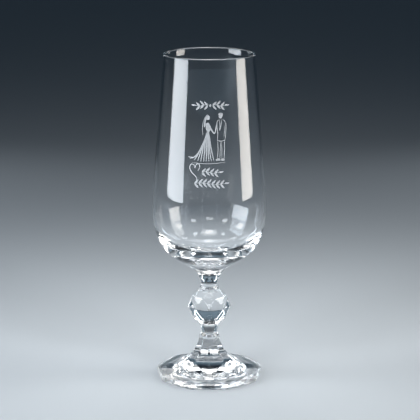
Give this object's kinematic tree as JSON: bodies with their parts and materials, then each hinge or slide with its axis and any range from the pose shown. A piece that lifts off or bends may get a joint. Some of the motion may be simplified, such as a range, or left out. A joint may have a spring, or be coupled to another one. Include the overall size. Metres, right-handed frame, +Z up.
{
  "type": "champagne flute",
  "caption": "Tall stemmed glass for sparkling wine: blown tulip bowl with a frosted front motif on a pressed crystal stem with a faceted ball knop and a polygonal foot.",
  "frame": {"origin": "on the table, under the middle of the foot", "axes": "+Z up along the stem; -Y is the front, where the bowl carries its motif and the foot shows the middle of a flat side; +X to the right seen from the front"},
  "size_m": [0.0572, 0.0572, 0.165],
  "materials": {
    "blown_crystal": "clear, fire-polished, thin blown wall",
    "pressed_crystal": "clear, solid, pressed facets with softly rounded edges",
    "frosted_engraving": "matt white frosting on the front of the bowl"
  },
  "bodies": {
    "root": {"bowl": "blown_crystal", "upper_stem": "pressed_crystal", "faceted_knop": "pressed_crystal", "lower_stem": "pressed_crystal", "foot": "pressed_crystal"}
  },
  "joints": []
}
